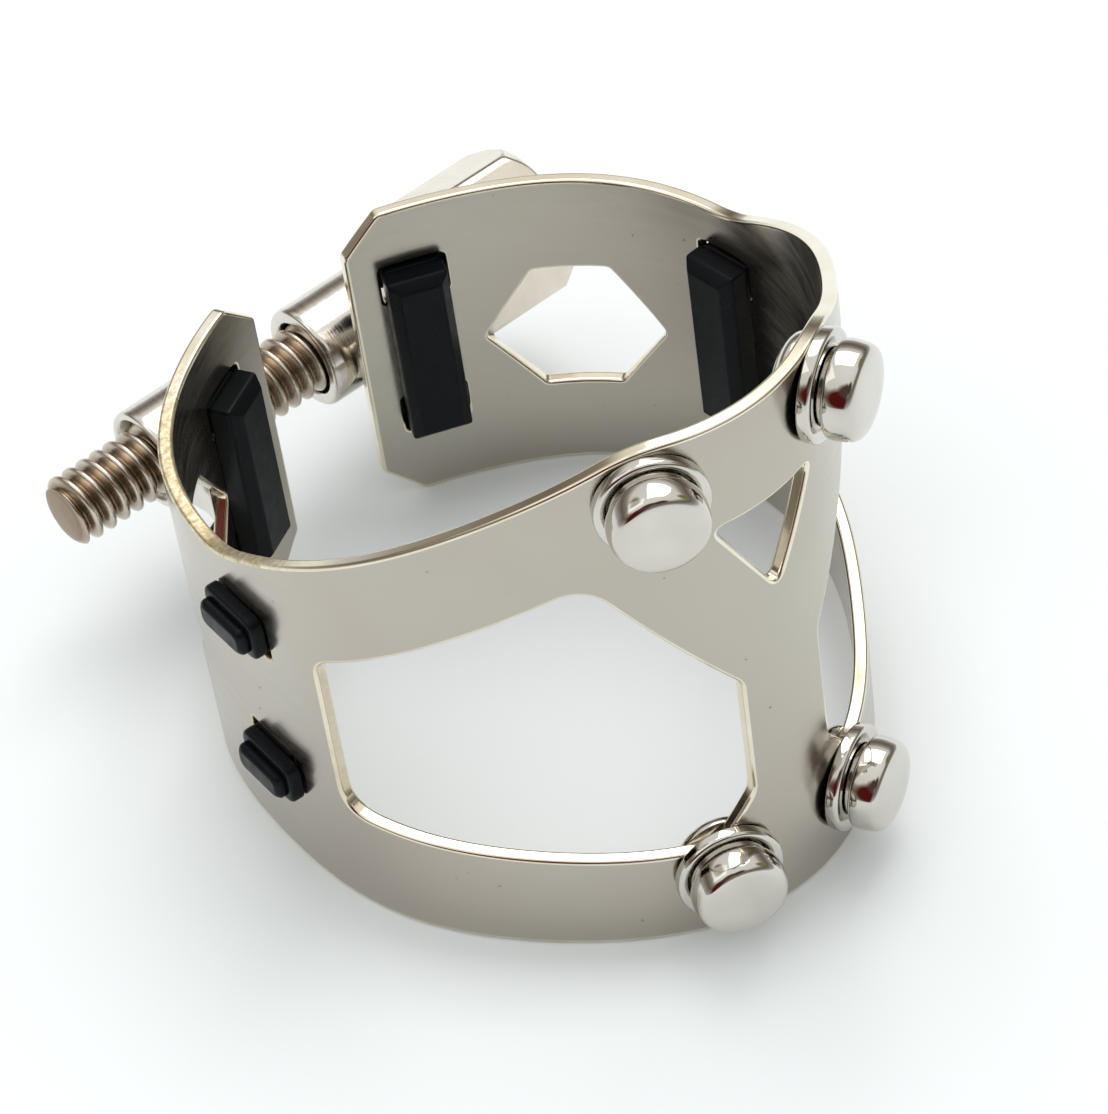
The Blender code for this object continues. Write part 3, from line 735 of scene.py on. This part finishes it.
def material_on_left(loop, is_hole):
    """The loop in the direction that has the sheet on its left, and its normals."""
    loop = np.array(loop)
    following = np.roll(loop, -1, axis=0)
    area = np.sum(loop[:, 0] * following[:, 1] - following[:, 0] * loop[:, 1])
    if (area > 0) == is_hole:
        loop = loop[::-1]
    ahead = np.roll(loop, -1, axis=0) - loop
    ahead /= np.linalg.norm(ahead, axis=1)[:, None]
    behind = np.roll(ahead, 1, axis=0)
    left = np.stack([-(ahead + behind)[:, 1], (ahead + behind)[:, 0]], axis=1)
    left /= np.linalg.norm(left, axis=1)[:, None]
    return loop, left


def contains(polygon, points):
    """Which points lie inside a polygon."""
    s, z = points[:, 0], points[:, 1]
    found = np.zeros(len(points), bool)
    for (s0, z0), (s1, z1) in zip(polygon, np.roll(polygon, 1, axis=0)):
        if z0 == z1:
            continue
        crosses = (z0 > z) != (z1 > z)
        found ^= crosses & (s < (s1 - s0) * (z - z0) / (z1 - z0) + s0)
    return found


def nearest(points, targets):
    """Each point's distance from the nearest target, worked out in batches."""
    best = np.full(len(points), 1e9)
    for first in range(0, len(targets), 200):
        part = targets[first:first + 200]
        gap = np.linalg.norm(points[:, None, :] - part[None, :, :], axis=2)
        best = np.minimum(best, gap.min(axis=1))
    return best


def in_sheet(loops, points):
    """Which points lie inside the outline, the first loop, and outside every hole."""
    found = contains(loops[0], points)
    for hole in loops[1:]:
        found &= ~contains(hole, points)
    return found


def flat_layout(loops):
    """Points and triangles of the flat sheet, and each outline point's new index."""
    flat = []
    edges = []
    for loop in loops:
        first = len(flat)
        count = len(loop)
        flat.extend(loop.tolist())
        edges.extend((first + k, first + (k + 1) % count) for k in range(count))
    columns = np.arange(END_LEFT, END_RIGHT, GRID_STEP_S)
    rows = np.arange(GRID_STEP_Z / 2, REED_HEIGHT, GRID_STEP_Z)
    grid_s, grid_z = np.meshgrid(columns, rows)
    grid = np.stack([grid_s.ravel(), grid_z.ravel()], axis=1)
    grid = grid[in_sheet(loops, grid)]
    grid = grid[nearest(grid, np.array(flat)) > GRID_CLEARANCE]
    flat.extend(grid.tolist())
    found = delaunay_2d_cdt([Vector(p) for p in flat], edges, [], 1, 1e-6)
    layout = np.array([tuple(p) for p in found[0]])
    triangles = np.array([t for t in found[2] if len(t) == 3])
    triangles = triangles[in_sheet(loops, layout[triangles].mean(axis=1))]
    where = {}
    for index, originals in enumerate(found[3]):
        for original in originals:
            where[original] = index
    return layout, triangles, where


def sheet_point(s, z, offset, across, outward):
    """A point on the sheet and its normal; across is in the sheet's own directions."""
    nx, ny = outward_at(s)
    along = np.array([-ny, nx, 0.0]) * across[0]
    up = np.array([0.0, 0.0, across[1]])
    normal = along + up + outward * np.array([nx, ny, 0.0])
    return on_band(s, z, offset), normal / np.linalg.norm(normal)


def rim_profile():
    """Steps over the rounded rim: how far out, how far up its fillet, and which side."""
    quarter = [math.pi / 2 * k / RIM_STEPS for k in range(RIM_STEPS + 1)]
    profile = [(math.sin(a), math.cos(a), 1) for a in quarter[1:]]
    profile += [(math.cos(a), math.sin(a), -1) for a in quarter[:-1]]
    return profile


def make_band(plate, rim):
    """One sheet with rounded rims, from a flat layout of arc length and height."""
    loops = [material_on_left(resampled(band_outline(), OUTLINE_STEP), False)]
    for hole in band_holes():
        loops.append(material_on_left(resampled(hole, OUTLINE_STEP), True))
    inner_loops = [loop + RIM_FILLET * left for loop, left in loops]
    layout, triangles, where = flat_layout(inner_loops)
    half = SHEET / 2
    count = len(layout)
    lengths = list(layout[:, 0]) * 2
    rows = [sheet_point(s, z, half, (0.0, 0.0), 1) for s, z in layout]
    rows += [sheet_point(s, z, -half, (0.0, 0.0), -1) for s, z in layout]
    faces = [tuple(int(k) for k in t) for t in triangles]
    faces += [tuple(int(count + k) for k in t[::-1]) for t in triangles]
    rim_first = len(faces)
    start = 0
    for (loop, left), inner in zip(loops, inner_loops):
        size = len(loop)
        rings = [[where[start + k] for k in range(size)]]
        for out, rise, side in rim_profile():
            offset = side * (half - RIM_FILLET + RIM_FILLET * rise)
            rings.append(list(range(len(rows), len(rows) + size)))
            for (s, z), inward in zip(inner - left * RIM_FILLET * out, left):
                rows.append(sheet_point(s, z, offset, -inward * out, side * rise))
                lengths.append(s)
        rings.append([count + where[start + k] for k in range(size)])
        for low, high in zip(rings, rings[1:]):
            for k in range(size):
                n = (k + 1) % size
                faces.append((low[n], low[k], high[k], high[n]))
        start += size
    points = [point for point, normal in rows]
    normals = [normal for point, normal in rows]
    band = make_object("band_sheet", points, faces, plate, normals=normals)
    band.data.materials.append(rim)
    for face in band.data.polygons[rim_first:]:
        face.material_index = 1
    bend_band(band, lengths)
    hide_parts("band")


def bend_band(band, lengths):
    """Shares the band between the ring and the left wing, by distance along it."""
    start_point = (on_band(BEND_START_S, 0.0) - FOOTPRINT_MIDDLE) * MM
    end_point = (on_band(BEND_END_S, 0.0) - FOOTPRINT_MIDDLE) * MM
    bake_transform(band, "ring", "left_wing", start=start_point, end=end_point)
    share = (np.array(lengths) - BEND_START_S) / (BEND_END_S - BEND_START_S)
    share = np.clip(share, 0.0, 1.0)
    share = share * share * (3 - 2 * share)
    weights = band.data.attributes["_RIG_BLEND"]
    weights.data.foreach_set("value", share.astype(np.float32))


# ---------------------------------------------------------------- studs, pads


def rivet_profile():
    """A dome inside the ring and a shank that ends at the underside of the button."""
    base = -SHEET / 2 - DOME_GAP
    edge = base - DOME_RIM
    dome = [(0.0, base - DOME_HIGH)]
    for angle in np.linspace(0.0, math.pi / 2, 13)[1:]:
        rise = (DOME_HIGH - DOME_RIM) * math.cos(angle)
        dome.append((DOME_R * math.sin(angle), edge - rise))
    dome += eased([(DOME_R, edge), (DOME_R, base), (DOME_R - 0.3, base)], 0.06)[1:]
    under = SHEET / 2 + WASHER_THICK + CAP_NECK
    return dome + [(STUD_SHANK_R, base), (STUD_SHANK_R, under), (0.0, under)]


def washer_profile():
    bore = STUD_SHANK_R + WASHER_GAP
    low = SHEET / 2 - WASHER_SEAT
    high = SHEET / 2 + WASHER_THICK
    corners = [(bore, low), (WASHER_R, low), (WASHER_R, high), (bore, high)]
    return eased(corners, [0, 0.07, 0.2, 0], 6)


def cap_profile():
    """A short neck under a round button with a softly crowned top."""
    base = SHEET / 2 + WASHER_THICK
    under = base + CAP_NECK
    top = under + CAP_HIGH
    corners = [
        (0.0, base),
        (CAP_NECK_R, base),
        (CAP_NECK_R, under),
        (CAP_R, under),
        (CAP_R + 0.03, under + 0.40 * CAP_HIGH),
        (CAP_R - 0.10, top - 0.10),
        (0.60 * CAP_R, top + 0.02),
        (0.0, top + CAP_CROWN),
    ]
    return eased(corners, [0, 0.04, 0.12, 0.20, 0.4, 0.85, 0.7, 0], 10)


def make_studs(metal):
    kinds = (
        ("stud_rivet_", "reed_stud_", rivet_profile(), 96),
        ("stud_ring_", "stud_washer_", washer_profile(), 96),
        ("stud_button_", "stud_cap_", cap_profile(), 128),
    )
    for place, (s, z) in STUDS.items():
        matrix = band_frame(s, z)
        for name, node, profile, segments in kinds:
            points, faces = spin(profile, segments)
            points = placed(points, matrix)
            piece = make_object(name + place, points, faces, metal, matrix.translation)
            even_normals(piece)
            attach(piece, "ring")
            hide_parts(node + place)


def head_shapes(end, back):
    """A tab through the sheet and its two-step head, at one end (-1 or +1) of a pad."""
    half = SHEET / 2
    top = half + HEAD_THICK
    peak = top + RIDGE_THICK
    tab = [(0.0, back - 0.1), (0.0, half + 0.1)]
    head = eased([
        (0.10, half + 0.015),
        (0.0, half + 0.03),
        (0.0, top),
        (0.30, top + 0.05),
    ], [0, 0.03, 0.16, 0], 5)
    ridge = eased([
        (0.0, top - 0.2),
        (0.0, peak - 0.16),
        (0.16, peak),
        (0.26, peak + 0.01),
    ], [0, 0.10, 0.08, 0], 5)
    middle = (0.0, end * TAB_OFFSET_Z)
    centre = (-end * HEAD_SHIFT_S, end * HEAD_OFFSET_Z)
    return [
        block(TAB_WIDTH / 2, TAB_HEIGHT / 2, TAB_CORNER, tab, middle),
        block(HEAD_HALF_LENGTH, HEAD_HALF_HEIGHT, HEAD_CORNER, head, centre),
        block(RIDGE_HALF_LENGTH, RIDGE_HALF_HEIGHT, RIDGE_CORNER, ridge, centre),
    ]


def make_pads(rubber):
    """Each pad is a bevelled strip inside the band with a head outside at each end."""
    back = -SHEET / 2 - PAD_BACK_GAP
    front = -SHEET / 2 - PAD_FACE_GAP - PAD_THICK
    strip = eased([
        (0.02, back),
        (0.0, back - 0.02),
        (0.0, front + PAD_BEVEL),
        (PAD_BEVEL, front),
        (PAD_BEVEL + 0.1, front),
    ], [0, 0.02, 0.10, 0.10, 0], 5)
    shapes = [block(PAD_WIDTH / 2, PAD_LENGTH / 2, PAD_CORNER, strip)]
    for end in (-1, 1):
        shapes += head_shapes(end, back)
    points, faces = joined(*shapes)
    for place, (s, z) in PADS.items():
        matrix = band_frame(s, z)
        name = "grip_pad_" + place
        pad = make_object(name, placed(points, matrix), faces, rubber, matrix.translation)
        recalculate(pad)
        even_normals(pad)
        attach(pad, "left_wing" if place.startswith("left") else "ring")
        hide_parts("pad_" + place)


# ---------------------------------------------------------------- screw


def along_x(points, x=0.0):
    """Points of a shape made about local Z, turned to lie on the screw's axis."""
    return [(x + p[2], SCREW_Y + p[0], SCREW_Z + p[1]) for p in points]


def band_outer_y(x):
    """How far out in +Y the band's outer face reaches at this x."""
    best = -1e9
    for end in (END_LEFT, END_RIGHT):
        outer = on_band(np.linspace(0.55 * end, end, 600), 0.0, SHEET / 2)
        order = np.argsort(outer[:, 0])
        if outer[:, 0].min() <= x <= outer[:, 0].max():
            best = max(best, float(np.interp(x, outer[order, 0], outer[order, 1])))
    return best


def foot_shape(span):
    """A waisted post from the barrel down to the band, spreading where it lands."""
    low, high = span
    middle = (low + high) / 2
    rings = []
    for t in np.linspace(0.0, 1.0, FOOT_RINGS):
        flare = FOOT_FLARE * max(0.0, (t - 0.5) / 0.5) ** 2.5
        half_x = (high - low) / 2 + flare
        half_z = FOOT_HALF - FOOT_WAIST * math.sin(math.pi * min(1.0, t / 0.9) / 2) + flare
        corners = [(-half_x, -half_z), (half_x, -half_z), (half_x, half_z), (-half_x, half_z)]
        ring = []
        for u, v in resampled(rounded(corners, FOOT_ROUND, 6), FOOT_STEP):
            x = middle + u
            held = min(max(x, low - FOOT_REACH), high + FOOT_REACH)
            base = band_outer_y(held) - FOOT_SINK
            ring.append((x, (1 - t) * (SCREW_Y - FOOT_START) + t * base, SCREW_Z + v))
        rings.append(ring)
    size = min(len(ring) for ring in rings)
    return loft([ring[:size] for ring in rings])


def make_barrel(name, node, span, bore, foot_span, body, metal):
    """A short tube with a foot that spreads a little where it meets the band."""
    start, stop = span
    length = stop - start
    tube = eased([
        (bore, BORE_CHAMFER),
        (bore + BORE_CHAMFER, 0.0),
        (BARREL_R, 0.0),
        (BARREL_R, length),
        (bore + BORE_CHAMFER, length),
        (bore, length - BORE_CHAMFER),
    ], [0, 0.03, BARREL_ROUND, BARREL_ROUND, 0.03, 0], 7)
    points, faces = spin(tube, 128)
    points, faces = joined((along_x(points, start), faces), foot_shape(foot_span))
    centre = (sum(foot_span) / 2, SCREW_Y, SCREW_Z)
    barrel = make_object(name, points, faces, metal, centre)
    recalculate(barrel)
    even_normals(barrel)
    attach(barrel, body)
    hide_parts(node)


def round_ring(radius, height, segments):
    """A circle of points about local Z."""
    turns = [2 * math.pi * k / segments for k in range(segments)]
    return [(radius * math.cos(a), radius * math.sin(a), height) for a in turns]


def thread_radius(x, turn):
    """The shank's radius at x and at a share of a full turn about its axis."""
    phase = (x / SCREW_PITCH - turn) % 1.0
    slope = abs(2 * phase - 1)
    height = min(1.0, max(0.0, (slope - THREAD_ROOT_SHARE) / THREAD_FLANK_SHARE))
    curved = height * height * (3 - 2 * height)
    height = curved * THREAD_EASE + height * (1 - THREAD_EASE)
    radius = SCREW_ROOT_R + (SCREW_R - SCREW_ROOT_R) * height
    fade = min(1.0, max(0.0, (x - THREAD_END_X) / THREAD_RUNOUT))
    radius += (SCREW_R - radius) * fade
    tip = SCREW_ROOT_R - 0.03 + 0.75 * math.sqrt(max(0.0, x - SCREW_TIP_X))
    return min(radius, tip)


def make_screw(metal):
    """Threaded shank with a chamfered tip and a run-out into its plain length."""
    segments = SCREW_SEGMENTS
    step = SCREW_PITCH / SCREW_TURN_STEPS
    xs = [SCREW_TIP_X, SCREW_TIP_X + 0.02]
    xs += list(np.arange(SCREW_TIP_X + 0.05, THREAD_END_X + THREAD_RUNOUT, step))
    xs += [THREAD_END_X + 0.8, SCREW_END_X]
    rings = [along_x(round_ring(SCREW_FACE_R, 0.0, segments), SCREW_TIP_X - 0.02)]
    for x in xs:
        ring = []
        for k in range(segments):
            angle = 2 * math.pi * k / segments
            r = thread_radius(x, k / segments)
            ring.append((r * math.cos(angle), r * math.sin(angle), 0.0))
        rings.append(along_x(ring, x))
    points, faces = loft(rings)
    screw = make_object("clamp_screw", points, faces, metal, (0.0, SCREW_Y, SCREW_Z))
    recalculate(screw)
    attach(screw, "screw")
    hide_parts("screw_shank")


def knob_ring(height, length, segments):
    """The knob's outline at one height: a softened hexagon, turned down near its ends."""
    from_end = min(height, length - height)
    edge = math.sqrt(min(1.0, from_end / KNOB_EDGE_DEPTH))
    turned = KNOB_FLATS_R - KNOB_EDGE_ROUND + KNOB_EDGE_ROUND * edge
    turned += KNOB_CONE_SLOPE * max(0.0, from_end - KNOB_CONE_START)
    ring = []
    for k in range(segments):
        angle = 2 * math.pi * k / segments
        sector = (angle + math.pi / 6) % (math.pi / 3) - math.pi / 6
        flat = KNOB_FLATS_R / math.cos(sector)
        softened = flat - KNOB_SOFTEN * max(0.0, flat - KNOB_CORNER_R)
        r = min(softened, turned)
        ring.append((r * math.cos(angle), r * math.sin(angle), height))
    return ring


def make_knob(metal):
    """Hexagonal knob with a shallow dish in its end face and a collar at its foot."""
    start, stop = KNOB_X
    length = stop - start
    segments = KNOB_SEGMENTS
    heights = [*KNOB_END_STEPS, length / 2]
    heights += [length - step for step in reversed(KNOB_END_STEPS)]
    rings = [knob_ring(height, length, segments) for height in heights]
    for radius, depth in KNOB_DISH:
        rings.append(round_ring(radius, length - depth, segments))
    outer = SCREW_R + COLLAR_WIDTH
    collar = eased([
        (SCREW_R, -COLLAR_OUT),
        (outer, -COLLAR_OUT),
        (outer, COLLAR_THICK - COLLAR_OUT),
        (SCREW_R, COLLAR_THICK - COLLAR_OUT),
    ], [0, 0.08, 0.08, 0], 4)
    points, faces = joined(loft(rings), spin(collar))
    origin = (start, SCREW_Y, SCREW_Z)
    knob = make_object("hex_thumb_knob", along_x(points, start), faces, metal, origin)
    recalculate(knob)
    even_normals(knob)
    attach(knob, "screw")
    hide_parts("hex_knob")


# ---------------------------------------------------------------- studio


def make_floor():
    mesh = bpy.data.meshes.new("table")
    half = TABLE_HALF
    corners = [(-half, -half, 0), (half, -half, 0), (half, half, 0), (-half, half, 0)]
    mesh.from_pydata(corners, [], [(0, 1, 2, 3)])
    material, _, shader = new_material("white_table")
    shader.inputs["Base Color"].default_value = (*TABLE_WHITE, 1.0)
    shader.inputs["Roughness"].default_value = 0.7
    mesh.materials.append(material)
    floor = bpy.data.objects.new("table", mesh)
    floor.location = (0.0, 0.0, -TABLE_DROP)
    bpy.context.scene.collection.objects.link(floor)


def add_light(name, place, size, power, colour):
    """A square area light aimed at the object."""
    light = bpy.data.lights.new(name, "AREA")
    light.shape = "RECTANGLE"
    light.size = size
    light.size_y = size
    light.energy = power
    light.color = colour
    obj = bpy.data.objects.new(name, light)
    obj.location = place
    direction = Vector(LIGHT_TARGET) - obj.location
    obj.rotation_mode = "QUATERNION"
    obj.rotation_quaternion = direction.to_track_quat("-Z", "Y")
    bpy.context.scene.collection.objects.link(obj)


def make_world():
    """A white dome; in reflections it is a room with dark red and golden places."""
    world = bpy.data.worlds.new("room")
    bpy.context.scene.world = world
    world.use_nodes = True
    tree = world.node_tree
    background = tree.nodes["Background"]
    coordinates = tree.nodes.new("ShaderNodeTexCoord")
    split = tree.nodes.new("ShaderNodeSeparateXYZ")
    tree.links.new(coordinates.outputs["Generated"], split.inputs[0])
    height = tree.nodes.new("ShaderNodeValToRGB")
    stops = height.color_ramp.elements
    stops[0].position = 0.0
    stops[0].color = (*ROOM_FLOOR, 1.0)
    stops[1].position = 1.0
    stops[1].color = (*ROOM_CEILING, 1.0)
    for position, colour in ROOM_HEIGHTS:
        stop = stops.new(position)
        stop.color = (*colour, 1.0)
    tree.links.new(split.outputs["Z"], height.inputs[0])
    room = height.outputs["Color"]
    for direction, narrow, wide, colour in ROOM_PATCHES:
        facing = tree.nodes.new("ShaderNodeVectorMath")
        facing.operation = "DOT_PRODUCT"
        facing.inputs[1].default_value = Vector(direction).normalized()
        tree.links.new(coordinates.outputs["Generated"], facing.inputs[0])
        share = ramp(tree, facing.outputs["Value"], 0.0, 1.0, wide, narrow)
        room = mix_colours(tree, share, room, colour)
    path = tree.nodes.new("ShaderNodeLightPath")
    seen = mix_colours(tree, path.outputs["Is Glossy Ray"], DOME_COLOUR, room)
    tree.links.new(seen, background.inputs["Color"])
    background.inputs["Strength"].default_value = 1.0


def make_camera():
    """The photograph's view: high three-quarter view of the reed plate's left side."""
    azimuth = math.radians(CAMERA_AZIMUTH)
    elevation = math.radians(CAMERA_ELEVATION)
    roll = math.radians(CAMERA_ROLL)
    level = math.cos(elevation)
    back = Vector((math.sin(azimuth) * level, -math.cos(azimuth) * level, math.sin(elevation)))
    right = Vector((math.cos(azimuth), math.sin(azimuth), 0.0))
    up = right.cross(-back)
    target = Vector(CAMERA_TARGET) + CAMERA_SHIFT[0] * right + CAMERA_SHIFT[1] * up
    turned_right = math.cos(roll) * right + math.sin(roll) * up
    turned_up = math.cos(roll) * up - math.sin(roll) * right
    matrix = Matrix((turned_right, turned_up, back)).transposed().to_4x4()
    place = target + CAMERA_DISTANCE * back - Vector(FOOTPRINT_MIDDLE)
    matrix.translation = place * MM
    data = bpy.data.cameras.new("camera")
    data.sensor_fit = "HORIZONTAL"
    data.sensor_width = CAMERA_SENSOR
    data.lens = CAMERA_LENS
    data.clip_start = 0.005
    data.clip_end = 20.0
    camera = bpy.data.objects.new("camera", data)
    bpy.context.scene.collection.objects.link(camera)
    camera.matrix_world = matrix
    bpy.context.scene.camera = camera


def main():
    bpy.context.scene.view_settings.view_transform = "Standard"
    make_band(plate_material(), rim_material())
    make_studs(stud_material())
    make_pads(rubber_material())
    metal = turned_material("barrel_nickel", BARREL_NICKEL, 0.16)
    make_barrel("barrel_threaded", "barrel_left", LEFT_BARREL_X, LEFT_BORE_R, LEFT_FOOT_X,
                "left_wing", metal)
    make_barrel("barrel_clear", "barrel_right", RIGHT_BARREL_X, RIGHT_BORE_R, RIGHT_FOOT_X,
                "ring", metal)
    make_screw(thread_material())
    make_knob(turned_material("knob_nickel", KNOB_NICKEL, 0.14))
    make_floor()
    make_world()
    for light in LIGHTS:
        add_light(*light)
    make_camera()


main()
